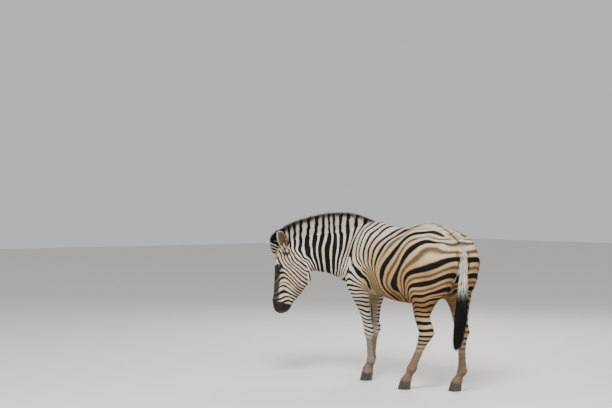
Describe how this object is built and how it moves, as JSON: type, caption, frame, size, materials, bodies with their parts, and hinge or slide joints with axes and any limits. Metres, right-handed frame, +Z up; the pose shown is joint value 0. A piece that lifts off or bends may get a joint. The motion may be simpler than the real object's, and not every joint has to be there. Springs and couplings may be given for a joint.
{
  "type": "zebra",
  "caption": "Adult plains zebra standing in a walking stance with its neck bent to its left, head hanging vertical, upright mane, ears forward and tufted tail hanging.",
  "frame": {"origin": "centre of the bounding box's base, on the floor under the animal", "axes": "+Z up; -Y the way the trunk faces; +X the animal's left; +Y the longest extent, towards the tail"},
  "size_m": [0.946, 1.7386, 1.3426],
  "materials": {
    "coat": "short flat hair, pale buff with black stripes",
    "mane_hair": "coarse long hair, brown-black and cream",
    "hoof_horn": "dull dark horn with growth rings",
    "eye": "wet and glossy"
  },
  "bodies": {
    "root": {"trunk": "coat", "neck": "coat", "head": "coat", "lower_jaw": "coat", "ear_left": "coat", "ear_right": "coat", "eye_left": "eye", "eye_right": "eye", "mane": "mane_hair", "tail_dock": "coat", "tail_tuft": "mane_hair", "fore_left_forearm": "coat", "fore_left_cannon": "coat", "fore_left_hoof": "hoof_horn", "fore_right_forearm": "coat", "fore_right_cannon": "coat", "fore_right_hoof": "hoof_horn", "hind_left_thigh": "coat", "hind_left_cannon": "coat", "hind_left_hoof": "hoof_horn", "hind_right_thigh": "coat", "hind_right_cannon": "coat", "hind_right_hoof": "hoof_horn"}
  },
  "joints": []
}
